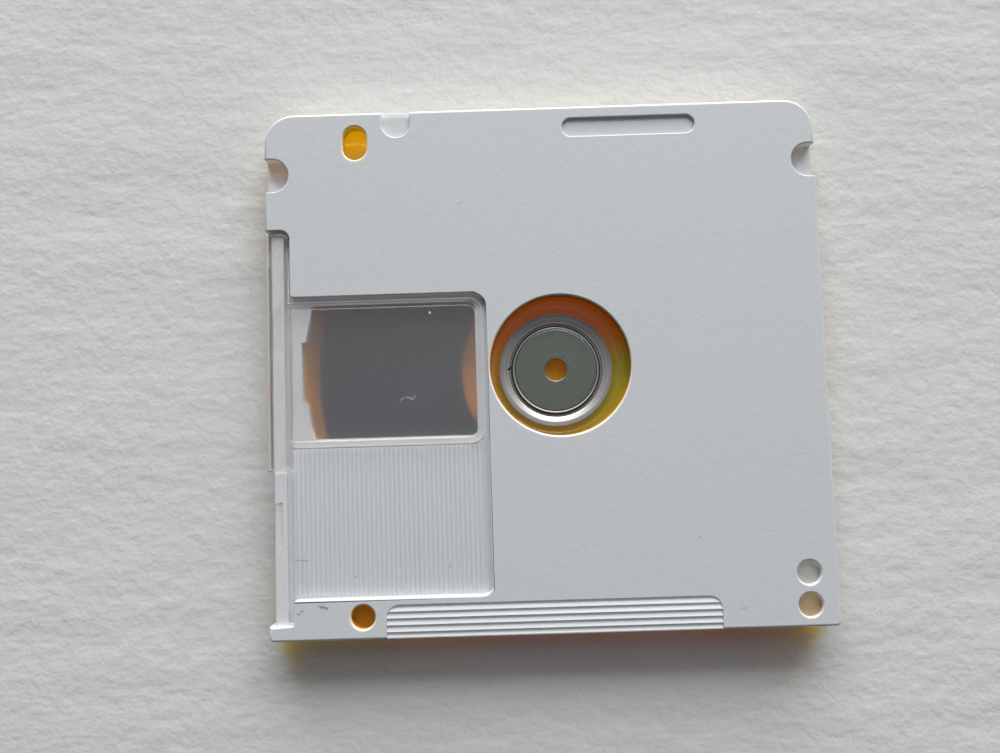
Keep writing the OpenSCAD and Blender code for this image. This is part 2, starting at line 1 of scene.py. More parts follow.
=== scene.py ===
# %% [markdown]
# A square disc cartridge, seen from its underside. The CAD model gives every piece its size and
# place. This script gives each piece its finish, and it rounds the moulded edges, because a
# moulding never has a knife edge and it is the rounded rims that catch the window's light.
# Everything is in metres, in the CAD's own frame: Z = 0 is the face that the cartridge lies on.

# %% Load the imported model
import math

import bmesh
import bpy
from mathutils import Euler, Matrix, Vector


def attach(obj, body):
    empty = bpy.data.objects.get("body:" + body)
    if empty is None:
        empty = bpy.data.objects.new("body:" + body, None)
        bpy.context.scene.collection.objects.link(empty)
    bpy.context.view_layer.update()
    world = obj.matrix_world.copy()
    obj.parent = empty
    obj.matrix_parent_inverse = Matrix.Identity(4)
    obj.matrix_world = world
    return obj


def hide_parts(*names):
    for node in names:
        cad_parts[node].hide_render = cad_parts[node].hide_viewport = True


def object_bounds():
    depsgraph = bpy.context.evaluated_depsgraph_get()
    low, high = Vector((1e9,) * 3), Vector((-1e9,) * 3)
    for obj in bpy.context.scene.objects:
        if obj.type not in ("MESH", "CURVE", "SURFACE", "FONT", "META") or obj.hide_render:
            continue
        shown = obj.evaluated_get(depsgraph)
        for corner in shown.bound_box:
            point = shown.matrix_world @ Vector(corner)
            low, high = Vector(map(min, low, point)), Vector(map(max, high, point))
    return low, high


MM = 0.001
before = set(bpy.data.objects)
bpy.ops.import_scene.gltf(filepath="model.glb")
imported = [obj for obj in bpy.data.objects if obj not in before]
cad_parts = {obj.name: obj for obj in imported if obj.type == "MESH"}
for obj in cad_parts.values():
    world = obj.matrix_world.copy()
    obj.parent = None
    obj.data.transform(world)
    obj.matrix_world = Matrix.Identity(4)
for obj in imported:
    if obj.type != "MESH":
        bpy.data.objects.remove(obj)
cad_low, cad_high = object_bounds()
scene = bpy.context.scene
print("CAD box", [round(v / MM, 2) for v in (*cad_low, *cad_high)])

# %% [markdown]
# Node graphs read badly as lists of links, so shader maths is written here as plain Python. A
# Value wraps one output socket, and adding or multiplying two of them adds the Math node.


# %% A small language for shader nodes
class Value:
    def __init__(self, tree, socket):
        self.tree = tree
        self.socket = socket

    def math(self, operation, *others, clamp=False):
        node = self.tree.nodes.new("ShaderNodeMath")
        node.operation = operation
        node.use_clamp = clamp
        for slot, item in zip(node.inputs, (self, *others)):
            plug(self.tree, item, slot)
        return Value(self.tree, node.outputs[0])

    def __add__(self, other):
        return self.math("ADD", other)

    __radd__ = __add__

    def __sub__(self, other):
        return self.math("SUBTRACT", other)

    def __rsub__(self, other):
        return (self * -1) + other

    def __mul__(self, other):
        return self.math("MULTIPLY", other)

    __rmul__ = __mul__

    def __truediv__(self, other):
        return self.math("DIVIDE", other)

    def clip(self):
        return self.math("ADD", 0, clamp=True)

    def ramp(self, low, high):
        """0 below low, 1 above high, and smooth between them."""
        return self.node("ShaderNodeMapRange", {"interpolation_type": "SMOOTHSTEP"},
                         {"Value": self, "From Min": low, "From Max": high})

    def node(self, kind, settings=(), sockets=(), output=0):
        return add_node(self.tree, kind, settings, sockets, output)


def plug(tree, item, socket):
    """Links a Value, or writes a plain number or colour, into a socket."""
    if isinstance(item, Value):
        tree.links.new(item.socket, socket)
    else:
        socket.default_value = item


def add_node(tree, kind, settings=(), sockets=(), output=0):
    node = tree.nodes.new(kind)
    for name, setting in dict(settings).items():
        setattr(node, name, setting)
    for name, item in dict(sockets).items():
        plug(tree, item, node.inputs[name])
    return Value(tree, node.outputs[output])


def material(name):
    """A new material with its tree, its output node and its object coordinates in millimetres."""
    mat = bpy.data.materials.new(name)
    mat.use_nodes = True
    tree = mat.node_tree
    tree.nodes.clear()
    out = tree.nodes.new("ShaderNodeOutputMaterial")
    place = add_node(tree, "ShaderNodeTexCoord", output="Object")
    scaled = add_node(tree, "ShaderNodeVectorMath", {"operation": "SCALE"}, {0: place, "Scale": 1 / MM})
    return mat, tree, out, scaled


def noise(tree, place, scale, detail=2.0, rough=0.5):
    return add_node(tree, "ShaderNodeTexNoise", {}, {
        "Vector": place, "Scale": scale, "Detail": detail, "Roughness": rough})


def bump(tree, height, strength, depth_mm):
    return add_node(tree, "ShaderNodeBump", {}, {
        "Height": height, "Strength": strength, "Distance": depth_mm * MM})


def mix_colour(tree, factor, a, b):
    node = tree.nodes.new("ShaderNodeMix")
    node.data_type = "RGBA"
    plug(tree, factor, node.inputs[0])
    plug(tree, a, node.inputs[6])
    plug(tree, b, node.inputs[7])
    return Value(tree, node.outputs[2])


def principled(tree, out, **sockets):
    node = tree.nodes.new("ShaderNodeBsdfPrincipled")
    for name, item in sockets.items():
        plug(tree, item, node.inputs[name.replace("_", " ")])
    tree.links.new(node.outputs[0], out.inputs["Surface"])
    return Value(tree, node.outputs[0])


# %% [markdown]
# Every see-through plastic here lets the window's light through to what lies behind it. A path
# tracer would need many bounces to find that light through real glass. So a shadow ray meets a
# plain tinted Transparent shader instead, and every other ray meets the real plastic.


# %% See-through plastics
def see_through(tree, out, shader, tint):
    """Lets shadow rays pass with a tint, which is the share that gets through one surface."""
    clear = add_node(tree, "ShaderNodeBsdfTransparent", {}, {"Color": tint})
    shadow_ray = add_node(tree, "ShaderNodeLightPath", output="Is Shadow Ray")
    mixed = add_node(tree, "ShaderNodeMixShader", {}, {0: shadow_ray, 1: shader, 2: clear})
    tree.links.new(mixed.socket, out.inputs["Surface"])


def flat_place(tree, place):
    return add_node(tree, "ShaderNodeVectorMath", {"operation": "MULTIPLY"}, {0: place, 1: (1, 1, 0)})


def stroke(tree, place, start, end, width, wobble=0.0):
    """1 along the line from start to end, seen from above, in millimetres, and 0 beside it."""
    line = Vector((end[0] - start[0], end[1] - start[1], 0))
    away = add_node(tree, "ShaderNodeVectorMath", {"operation": "SUBTRACT"},
                    {0: flat_place(tree, place), 1: (start[0], start[1], 0)})
    along = add_node(tree, "ShaderNodeVectorMath", {"operation": "DOT_PRODUCT"},
                     {0: away, 1: line}, output="Value")
    share = (along / line.length_squared).clip()
    foot = add_node(tree, "ShaderNodeVectorMath", {"operation": "SCALE"}, {0: line, "Scale": share})
    gap = add_node(tree, "ShaderNodeVectorMath", {"operation": "DISTANCE"}, {0: away, 1: foot}, output="Value")
    if wobble:
        gap = gap + (noise(tree, place, 4.0, 3.0, 0.7) - 0.5) * wobble
    return 1 - gap.ramp(width * 0.3, width * 0.7)


# %% [markdown]
# The underside half is a nearly opaque white moulding with a fine spark-eroded grain. Thin walls
# over the amber half let a little of its light through, so the side notches glow faintly; that glow
# is a painted emission, and more painted emission lifts the shade in the sensing recesses, the slot,
# the gap and right wall of the shutter's recess and the grip. Handling left a hairline scratch
# across the track, some grey rubs near the locating hole and a few scuffs. The colour also holds
# painted light and shade: warm light on the rims of the spindle opening, the locating hole and the
# slot, amber light on a sensing recess floor, a lighter track groove, darker grip slopes and a
# lighter front chamfer.


# %% White shell
SCRATCHES = [((-35.5, -23.65), (-31.2, -24.1), 0.14, 0.45), ((-34.6, -23.95), (-32.4, -24.3), 0.1, 0.3)]
RUBS = [((-29.6, -29.7), (-28.7, -29.95), 0.28, 0.75), ((-32.3, -30.6), (-31.8, -30.2), 0.22, 0.6),
        ((-35.95, -16.7), (-35.2, -16.85), 0.3, 0.6), ((-25.3, -26.3), (-25.1, -26.25), 0.3, 0.35),
        ((-13.2, -25.3), (-13.0, -25.1), 0.3, 0.3), ((18.6, -22.4), (19.4, -22.7), 0.2, 0.25),
        ((20.8, -13.1), (21.3, -12.9), 0.2, 0.2), ((23.6, -31.5), (24.4, -31.3), 0.25, 0.3),
        ((-10.8, 21.4), (-10.2, 21.7), 0.2, 0.25)]


SENSING = [(32.3, -31.3), (32.3, -27.25)]
LOCATING = (-24.15, -31.2)
SLOT = (-24.15, 30.0)
AXIS_X = 1.85
RECESS_RIGHT = -7.5


def part_of(tree, place, axis):
    return add_node(tree, "ShaderNodeSeparateXYZ", {}, {0: place}, output=axis)


def distance_from(tree, place, x, y):
    return add_node(tree, "ShaderNodeVectorMath", {"operation": "DISTANCE"},
                    {0: flat_place(tree, place), 1: (x, y, 0)}, output="Value")


# Painted glow colours for the two side notches.
NOTCHES = [((-35.1, 25.95), (0.13, 0.08, 0.045, 1)), ((35.1, 25.95), (0.085, 0.07, 0.055, 1))]


def white_plastic():
    mat, tree, out, place = material("white_plastic")
    grain = noise(tree, place, 4.5, 3.0, 0.65)
    cloud = noise(tree, place, 0.09, 2.0)
    z = part_of(tree, place, "Z")
    colour = mix_colour(tree, cloud, (0.625, 0.655, 0.675, 1), (0.655, 0.67, 0.685, 1))
    colour = mix_colour(tree, (grain * 3 - 1).clip() * 0.25, colour, (0.55, 0.57, 0.59, 1))
    # Painted light: a warm highlight on the rim of the spindle opening, and painted amber light on the wall below it.
    wall = distance_from(tree, place, AXIS_X, 0).ramp(9.32, 9.2)
    colour = mix_colour(tree, wall, colour, (0.95, 0.84, 0.72, 1))
    colour = mix_colour(tree, wall * z.ramp(4.9, 4.8), colour, (0.52, 0.25, 0.05, 1))
    # Painted light: a warm cream rim of amber light around the locating hole and the slot.
    painted_hole_rim_light = distance_from(tree, place, *LOCATING).ramp(1.85, 1.65)
    across = part_of(tree, place, "X") - SLOT[0]
    along = ((part_of(tree, place, "Y") - SLOT[1]).math("ABSOLUTE") - 1).math("MAXIMUM", 0)
    painted_hole_rim_light = painted_hole_rim_light + (across * across + along * along).math("SQRT").ramp(1.74, 1.62)
    colour = mix_colour(tree, painted_hole_rim_light.clip(), colour, (0.8, 0.72, 0.58, 1))
    # The floors of the two sensing recesses are tinted: painted amber light through the thin floor of the rear one,
    # and a darker warm grey on the front one.
    for spot, tint, strength in ((SENSING[0], (0.41, 0.28, 0.11, 1), 0.85), (SENSING[1], (0.36, 0.325, 0.27, 1), 0.6)):
        centre = stroke(tree, place, spot, (spot[0] + 0.2, spot[1]), 3.6)
        floor_of_recess = z.ramp(4.75, 4.4)
        colour = mix_colour(tree, centre * floor_of_recess * strength, colour, tint)
    for start, end, width, strength in SCRATCHES:
        colour = mix_colour(tree, stroke(tree, place, start, end, width, 0.06) * strength, colour, (0.16, 0.17, 0.15, 1))
    for start, end, width, strength in RUBS:
        colour = mix_colour(tree, stroke(tree, place, start, end, width, 0.9) * strength, colour, (0.2, 0.2, 0.2, 1))
    x = part_of(tree, place, "X")
    y = part_of(tree, place, "Y")
    # Painted light: the low parts of the track beside the shutter are painted lighter, which lifts the shade in its
    # groove.
    track = x.ramp(-32.8, -32.95) * z.ramp(4.6, 4.5)
    colour = mix_colour(tree, track, colour, (0.68, 0.69, 0.71, 1))
    # Painted shade: the sloped faces of the grip ridges are painted darker, which tones down their highlights.
    shaded_grip_slopes = y.ramp(-29.7, -29.9) * x.math("ABSOLUTE").ramp(21.3, 21.1) * z.ramp(4.99, 4.95)
    colour = mix_colour(tree, shaded_grip_slopes, colour, (0.56, 0.58, 0.6, 1))
    # Painted highlight: the leading chamfer is painted lighter.
    painted_chamfer_highlight = y.ramp(33.2, 33.6) * z.ramp(4.99, 4.94)
    colour = mix_colour(tree, painted_chamfer_highlight, colour, (0.88, 0.89, 0.9, 1))
    # Painted light: the emission below lifts the shade in the notches, the sensing recesses, the slot, the gap and
    # right wall of the shutter's recess and the grip.
    glow = (0, 0, 0, 1)
    for spot, tint in NOTCHES:
        inside = distance_from(tree, place, *spot).ramp(2.5, 2.3) * z.ramp(4.9, 4.6) * y.ramp(24.8, 26.6)
        glow = mix_colour(tree, inside, glow, tint)
    # Painted light in the sensing recesses, strongest towards their front walls.
    for spot, tint in ((SENSING[0], (0.15, 0.115, 0.07, 1)), (SENSING[1], (0.13, 0.13, 0.12, 1))):
        inside = distance_from(tree, place, *spot).ramp(1.85, 1.65) * z.ramp(5.0, 4.85)
        inside = inside * y.ramp(spot[1] - 0.5, spot[1] + 1.2)
        glow = mix_colour(tree, inside, glow, tint)
    # Painted light in the slot over the amber half.
    slot = band(x, SLOT[0], 1.7) * y.ramp(30.2, 31.4) * y.ramp(32.6, 32.4) * z.ramp(4.98, 4.9)
    glow = mix_colour(tree, slot, glow, (0.1, 0.06, 0.02, 1))
    # Painted light in the gap between the shutter and the front wall of its recess.
    gap = y.ramp(8.9, 9.3) * y.ramp(9.95, 9.85) * x.ramp(-7.3, -7.5) * band(z, 4.4, 0.5)
    glow = mix_colour(tree, gap, glow, (0.045, 0.04, 0.04, 1))
    # Painted light on the right wall of the shutter's recess.
    side = band(x, RECESS_RIGHT, 0.16) * y.ramp(-28.5, -27) * y.ramp(-8, -10) * band(z, 4.5, 0.45)
    glow = mix_colour(tree, side, glow, (0.17, 0.175, 0.18, 1))
    # Painted light on the grip ridges, which softens their shade.
    grip = y.ramp(-29.7, -29.9) * x.math("ABSOLUTE").ramp(21.3, 21.1) * z.ramp(4.97, 4.85)
    glow = mix_colour(tree, grip, glow, (0.11, 0.112, 0.115, 1))
    principled(tree, out, Base_Color=colour, Roughness=0.46 + grain * 0.12, IOR=1.5,
               Emission_Color=glow, Emission_Strength=1.0,
               Normal=bump(tree, grain + noise(tree, place, 1.3, 2.0) * 1.2, 0.65, 0.02))
    return mat


# %% [markdown]
# The label half is transparent amber. Thin parts look yellow, and the colour deepens to a red
# brown wherever light crosses several walls. A plate of clear plastic also pipes light along
# itself: it enters at the edge that faces the window, leaks out dimmer and redder further along,
# and lights the rear edge and the table beside it. That leak is painted as a faint emission, its
# colour set region by region around the hub, under the shutter's window, at the front and along
# the rear wall, with painted glowing streaks around the hub. The front and the hub area are
# painted a darker amber, which balances that painted light.


# %% Amber shell
def amber_plastic():
    mat, tree, out, place = material("amber_plastic")
    cloud = noise(tree, place, 0.2, 2.0)
    colour = mix_colour(tree, cloud, (0.97, 0.60, 0.02, 1), (0.95, 0.52, 0.015, 1))
    x = part_of(tree, place, "X")
    y = part_of(tree, place, "Y")
    # Painted shade: the front and the hub area get a darker amber, which balances the painted leak below that lightens
    # them.
    front = y.ramp(26, 28)
    colour = mix_colour(tree, front, colour, (0.77, 0.49, 0.005, 1))
    hub = distance_from(tree, place, AXIS_X, 0).ramp(12, 10)
    colour = mix_colour(tree, hub * 0.4, colour, (0.83, 0.5, 0.01, 1))
    # Painted light: the leak emission, set region by region.
    painted_leak = mix_colour(tree, hub, (0.012, 0.008, 0, 1), (0.022, 0.026, 0.003, 1))
    painted_leak = mix_colour(tree, y.ramp(-6, 6), painted_leak, (0.052, 0.01, 0, 1))
    painted_leak = mix_colour(tree, hub * x.ramp(3, 8) * y.ramp(5, -2), painted_leak, (0.008, 0.045, 0.001, 1))
    near_middle = band(y, -2.6, 2.4)
    painted_leak = mix_colour(tree, x.ramp(-9, -10), painted_leak, mix_colour(tree, near_middle, (0.022, 0.011, 0, 1), (0.05, 0.01, 0.003, 1)))
    painted_leak = mix_colour(tree, x.ramp(-24, -28), painted_leak, mix_colour(tree, near_middle, (0.008, 0.003, 0, 1), (0.018, 0.002, 0, 1)))
    painted_leak = mix_colour(tree, y.ramp(20, 30), painted_leak, (0.03, 0.03, 0, 1))
    # Painted glowing streaks around the hub.
    painted_glow_streaks = noise(tree, add_node(tree, "ShaderNodeCombineXYZ", {}, {"X": distance_from(tree, place, AXIS_X, 0)}), 2.6, 3.0, 0.7)
    painted_leak = mix_colour(tree, hub * (painted_glow_streaks * 3 - 1.3).clip() * 0.6, painted_leak, (0.075, 0.035, 0.012, 1))
    # Painted light along the rear wall, which tints the table's shadow beside it.
    rear = mix_colour(tree, x.ramp(-32, -12), (0.26, 0.17, 0.01, 1), (0.27, 0.052, 0.008, 1))
    rear = mix_colour(tree, x.ramp(22, 35), rear, (0.26, 0.14, 0.01, 1))
    painted_leak = mix_colour(tree, y.ramp(-33.7, -33.95), painted_leak, rear)
    shader = principled(tree, out, Base_Color=colour, Roughness=0.12 + cloud * 0.05 + front * 0.25, IOR=1.5, Transmission_Weight=0.8,
                        Emission_Color=painted_leak, Emission_Strength=1.0,
                        Normal=bump(tree, noise(tree, place, 3.0), 0.08, 0.02))
    see_through(tree, out, shader, (0.99, 0.80, 0.16, 1))
    return mat


# %% [markdown]
# The shutter is a frosted natural plastic. It is nearly clear close to what it covers, with a
# faint white haze over it, so most of it is a rough transmission and the rest is plain white.
# That white draws a few hairs and a speck, and painted highlights along the rims and the bar's
# outer edge.


# %% Milky shutter
HAIRS = [((-18.9, -4.6), (-18.8, -3.8), 0.12, 0.14), ((-18.8, -3.8), (-18.0, -3.5), 0.12, 0.2),
         ((-18.0, -3.5), (-17.35, -3.9), 0.12, 0.3), ((-17.35, -3.9), (-16.9, -3.3), 0.12, 0.26),
         ((-14.85, 7.3), (-14.8, 7.35), 0.24, 1.0)]
# Painted highlights: light lines along the panel's rims and across the bar's lower end.
PAINTED_RIM_HIGHLIGHTS = [((-32.6, -9.7), (-9.4, -9.7), 0.36, 0.85), ((-9.4, -9.7), (-8.6, -9.4), 0.36, 0.85),
        ((-8.6, -9.4), (-8.15, -8.6), 0.34, 0.7), ((-30, -8.8), (-10.4, -8.8), 0.26, 0.35),
        ((-8.12, -8), (-8.12, 8), 0.22, 0.3),
        ((-33, 8.75), (-10, 8.75), 0.2, 0.2), ((-35.9, -12.5), (-33.3, -12.5), 0.22, 0.4)]


def milky_plastic():
    mat, tree, out, place = material("milky_plastic")
    grain = noise(tree, place, 5.0, 3.0, 0.6)
    colour = mix_colour(tree, (grain * 3 - 1).clip(), (0.70, 0.69, 0.68, 1), (0.775, 0.76, 0.75, 1))
    frosted = principled(tree, out, Base_Color=colour, Roughness=0.35 + grain * 0.05, IOR=1.49,
                         Transmission_Weight=0.95, Normal=bump(tree, grain, 0.1, 0.012))
    # A painted highlight along the bar's outer edge, and real hairs and a speck, all drawn in the plain white below.
    hairs_and_highlights = part_of(tree, place, "X").ramp(-35.5, -35.65) * 0.6
    for start, end, width, strength in HAIRS:
        hairs_and_highlights = hairs_and_highlights + stroke(tree, place, start, end, width) * strength
    for start, end, width, strength in PAINTED_RIM_HIGHLIGHTS:
        hairs_and_highlights = hairs_and_highlights + stroke(tree, place, start, end, width) * strength
    chalky = principled(tree, out, Base_Color=(0.72, 0.71, 0.70, 1), Roughness=0.5)
    mixed = add_node(tree, "ShaderNodeMixShader", {}, {
        0: hairs_and_highlights.clip(), 1: frosted, 2: chalky})
    see_through(tree, out, mixed, (0.83, 0.83, 0.84, 1))
    return mat


# %% Clear disc, film, steel and lock
DISC = (1.4, -0.45, 1.4)


def band(value, middle, half_width):
    """1 within half_width of the middle, and 0 outside it."""
    return (value - middle).math("ABSOLUTE").ramp(half_width * 1.3, half_width * 0.7)


def clear_plastic():
    mat, tree, out, place = material("clear_plastic")
    wash = noise(tree, place, 0.3)
    radius = distance_from(tree, place, DISC[0], DISC[1])
    lip = radius.ramp(5.95, 6.2) * radius.ramp(6.9, 6.82)
    lines = band(radius, 6.3, 0.05) + band(radius, 6.84, 0.05) * 0.4 + band(radius, 8.3, 0.06) * 0.12
    groove = band(radius, 6.1, 0.06)
    nick = stroke(tree, place, (-4.9, -0.25), (-4.45, 0.1), 0.2)
    # Painted light: a faint emission lifts the shade on the disc's inner part, and the fine ring lines glow as painted
    # highlights.
    painted_leak = mix_colour(tree, radius.ramp(7.5, 7.3), (0, 0, 0, 1), (0.022, 0.022, 0.024, 1))
    painted_leak = mix_colour(tree, lines.clip() * 0.8, painted_leak, (0.17, 0.17, 0.165, 1))
    shader = principled(tree, out, Base_Color=(0.95, 0.96, 0.96, 1), Roughness=0.03 + wash * 0.02 + lip * 0.33, IOR=1.585,
                        Transmission_Weight=1.0, Emission_Color=painted_leak, Emission_Strength=1.0)
    # A satin metal is mixed in as a painted sheen: silver on the lip and the ring lines, dark at the groove and at the
    # moulding gate's nick.
    silver = mix_colour(tree, (nick + groove).clip(), (0.85, 0.86, 0.88, 1), (0.03, 0.03, 0.03, 1))
    sheen_and_dark_marks = principled(tree, out, Base_Color=silver, Roughness=0.45, Metallic=1.0)
    mixed = add_node(tree, "ShaderNodeMixShader", {}, {
        0: (lip * 0.18 + lines * 0.3 + groove * 0.6 + nick * 0.9).clip(), 1: shader, 2: sheen_and_dark_marks})
    see_through(tree, out, mixed, (0.95, 0.95, 0.95, 1))
    return mat


def mirror_film():
    mat, tree, out, place = material("mirror_film")
    wash = noise(tree, place, 0.2)
    colour = mix_colour(tree, wash, (0.30, 0.41, 0.66, 1), (0.34, 0.45, 0.7, 1))
    principled(tree, out, Base_Color=colour, Roughness=0.1 + wash * 0.04, Metallic=1.0)
    return mat


def pressed_steel():
    mat, tree, out, place = material("pressed_steel")
    grain = noise(tree, place, 9.0, 3.0, 0.6)
    colour = mix_colour(tree, (grain * 4 - 1.5).clip(), (0.205, 0.235, 0.2, 1), (0.47, 0.51, 0.455, 1))
    radius = distance_from(tree, place, DISC[0], DISC[1])
    flange = radius.ramp(5.7, 5.8)
    # Painted light and shade on the pressed edge: a bright ring at its bend, and dark rings at the coined line and at
    # the gap to the disc's lip.
    colour = mix_colour(tree, band(radius, 5.56, 0.1), colour, (0.8, 0.83, 0.84, 1))
    colour = mix_colour(tree, band(radius, 5.4, 0.05), colour, (0.08, 0.08, 0.08, 1))
    gap = band(radius, 5.84, 0.1)
    rings = noise(tree, add_node(tree, "ShaderNodeCombineXYZ", {}, {"X": radius}), 5.0, 2.0)
    # Painted light: the flange gets a lighter colour with turned rings and less metal below, which lifts the shade on
    # it.
    colour = mix_colour(tree, flange, colour, mix_colour(tree, rings, (0.44, 0.42, 0.39, 1), (0.66, 0.63, 0.59, 1)))
    colour = mix_colour(tree, gap, colour, (0.05, 0.05, 0.05, 1))
    principled(tree, out, Base_Color=colour, Roughness=0.34 + grain * 0.16, Metallic=1 - flange * 0.6,
               Normal=bump(tree, grain + rings * flange, 0.4, 0.015))
    return mat


def lock_plastic():
    mat, tree, out, place = material("lock_plastic")
    grain = noise(tree, place, 6.0, 3.0)
    colour = mix_colour(tree, grain, (0.66, 0.66, 0.63, 1), (0.72, 0.72, 0.70, 1))
    principled(tree, out, Base_Color=colour, Roughness=0.45 + grain * 0.1, Normal=bump(tree, grain, 0.2, 0.02))
    return mat


FINISH = {
    "lower_shell": white_plastic(),
    "upper_shell": amber_plastic(),
    "disc_substrate": clear_plastic(),
    "mirror_layer": mirror_film(),
    "clamping_plate": pressed_steel(),
    "shutter": milky_plastic(),
    "shutter_lock": lock_plastic(),
}
for name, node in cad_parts.items():
    node.data.materials.clear()
    node.data.materials.append(FINISH[name])

# %% [markdown]
# Moulded plastic has a small radius on every outer edge. The CAD edges are sharp, so each
# moulding is copied, its triangles are merged back into whole faces, and its outer edges get a
# bevel. Each edge carries its own weight, so a rule can give it its own radius in millimetres.


# %% Round the moulded edges
WIDEST = 0.4


def finish_mesh(piece, finish, smooth_below=40):
    """Applies the modifiers, then lets curves shade smoothly while flat faces stay flat."""
    weighted = piece.modifiers.new("flat_faces", "WEIGHTED_NORMAL")
    weighted.keep_sharp = True
    weighted.weight = 50
    piece.data.shade_smooth()
    piece.data.set_sharp_from_angle(angle=math.radians(smooth_below))
    graph = bpy.context.evaluated_depsgraph_get()
    done = bpy.data.meshes.new_from_object(piece.evaluated_get(graph))
    piece.modifiers.clear()
    piece.data = done
    done.materials.clear()
    done.materials.append(finish)


def soften(name, body, radius_of, segments=3):
    """A copy of a CAD node whose outer edges are rounded to radius_of(x, y, z), in millimetres."""
    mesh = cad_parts[name].data.copy()
    bm = bmesh.new()
    bm.from_mesh(mesh)
    bmesh.ops.remove_doubles(bm, verts=bm.verts, dist=0.002 * MM)
    bmesh.ops.dissolve_limit(bm, angle_limit=math.radians(0.6), verts=bm.verts, edges=bm.edges)
    weight = bm.edges.layers.float.new("bevel_weight_edge")
    bm.normal_update()
    marked = 0
    for edge in bm.edges:
        if len(edge.link_faces) == 2 and edge.calc_face_angle_signed(0) > math.radians(35):
            middle = (edge.verts[0].co + edge.verts[1].co) / 2 / MM
            lowest = min(v.co.z for v in edge.verts) / MM
            edge[weight] = radius_of(middle.x, middle.y, lowest) / WIDEST
            marked += edge[weight] > 0
    bm.to_mesh(mesh)
    bm.free()
    piece = bpy.data.objects.new(name + "_moulding", mesh)
    scene.collection.objects.link(piece)
    bevel = piece.modifiers.new("edges", "BEVEL")
    bevel.width = WIDEST * MM
    bevel.segments = segments
    bevel.limit_method = "WEIGHT"
    bevel.use_clamp_overlap = False
    bevel.miter_outer = "MITER_ARC"
    bevel.loop_slide = False
    finish_mesh(piece, FINISH[name])
    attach(piece, body)
    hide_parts(name)
    print(name, "rounded edges:", marked, "faces:", len(piece.data.polygons))
    return piece


# %% [markdown]
# The white half is looked at most. The rear wall of the shutter's recess has the widest radius,
# and it fades out around the corner, where the land beside the spindle opening is very thin.

# %% White half
TOP = cad_high.z / MM
RECESS_REAR = -28.85
TRACK_REAR = -32.1


def white_edge(x, y, z):
    if z > TOP - 0.01:
        if math.hypot(x - AXIS_X, y) < 9.6:
            return 0.08 - 0.035 * y / 9
        if x < RECESS_RIGHT + 0.05 and RECESS_REAR - 0.3 < y < -3:
            if x < -32.4:
                return 0.1 + 0.18 * max(0, (x + 32.9) / 0.5)
            return 0.04 + 0.24 * min(1, max(0, (-26.6 - y) / 2))
        if x < RECESS_RIGHT + 0.05 and -3 <= y < 9.7:
            return 0.04
        if x < -33.2 and -32.6 < y < TRACK_REAR + 0.3:
            return 0.3
        if math.hypot(x + 24.15, y + 31.2) < 1.7 or (abs(x + 24.15) < 1.7 and 27.4 < y < 32.5):
            return 0.22
        if math.hypot(x - 32.3, y + 31.3) < 1.7 or math.hypot(x - 32.3, y + 27.25) < 1.7:
            return 0.24
        if y < -29.7 and abs(x) < 21.3:
            return 0.07
        return 0.14
    if z > TOP - 0.3:
        return 0.1
    if z > TOP - 1.1:
        return 0.05
    return 0.0


lower = soften("lower_shell", "cartridge", white_edge)

# %% [markdown]
# The amber half only shows its edges around the sides, and the frame of its label recess below.

# %% Amber half, shutter and lock
def amber_edge(x, y, z):
    return 0.08 if z < 0.5 else 0.0


def shutter_edge(x, y, z):
    if z > 4.85:
        return 0.16
    if z > 4.6:
        return 0.1
    return 0.05


def lock_edge(x, y, z):
    return 0.08


upper = soften("upper_shell", "cartridge", amber_edge, segments=2)
shutter = soften("shutter", "shutter", shutter_edge)
lock = soften("shutter_lock", "lock", lock_edge, segments=2)

# %% [markdown]
# The disc and its steel plate are turned shapes, so each one is a profile that is swung around
# the disc's axis. That makes room for forms that are too fine for the CAD solids: the rounded
# lip of the moulded hub, a thin stacking ring, and the press radii and coined line of the plate.


# %% Turned parts
def turned(name, profile, steps=240):
    """A closed solid of revolution around the disc's axis, from (radius, height) in millimetres."""
    mesh = bpy.data.meshes.new(name)
    bm = bmesh.new()
    rows = []
    for step in range(steps):
        angle = 2 * math.pi * step / steps
        c, s = math.cos(angle), math.sin(angle)
        rows.append([bm.verts.new(((DISC[0] + r * c) * MM, (DISC[1] + r * s) * MM, (DISC[2] + z) * MM))
                     for r, z in profile])
    count = len(profile)
    for step in range(steps):
        here, there = rows[step], rows[(step + 1) % steps]
        for i in range(count):
            j = (i + 1) % count
            bm.faces.new((here[i], there[i], there[j], here[j]))
    bmesh.ops.recalc_face_normals(bm, faces=bm.faces)
    bm.to_mesh(mesh)
    bm.free()
    piece = bpy.data.objects.new(name, mesh)
    scene.collection.objects.link(piece)
    return piece


def arc(r, z, radius, start, end, steps=6):
    """Points of an arc around (r, z); 0 degrees points outwards and 90 degrees points up."""
    return [(r + radius * math.cos(math.radians(start + (end - start) * i / steps)),
             z + radius * math.sin(math.radians(start + (end - start) * i / steps)))
            for i in range(steps + 1)]


# %% Clear disc
DISC_T = 1.2
disc_profile = (
    [(7.6, 0), (7.8, 0), (31.7, 0), (31.9, 0), (32, 0.1), (32, 1.1), (31.9, DISC_T)]
    + [(31.7, DISC_T), (8.6, DISC_T), (8.47, DISC_T), (8.4, DISC_T + 0.08), (8.25, DISC_T + 0.08), (8.18, DISC_T)]
    + [(7.3, DISC_T), (7.0, DISC_T), (6.9, DISC_T), (6.82, 1.18), (6.74, 1.14), (6.58, 1.05), (6.42, 0.96), (6.28, 0.88),
       (6.18, 0.8), (6.1, 0.7), (5.98, 0.5), (5.9, 0.4), (5.9, 0.35), (6.0, 0.35), (7.5, 0.35), (7.6, 0.35)]
)
disc = turned("disc_clear", disc_profile)
finish_mesh(disc, FINISH["disc_substrate"], 30)
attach(disc, "disc")
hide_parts("disc_substrate")

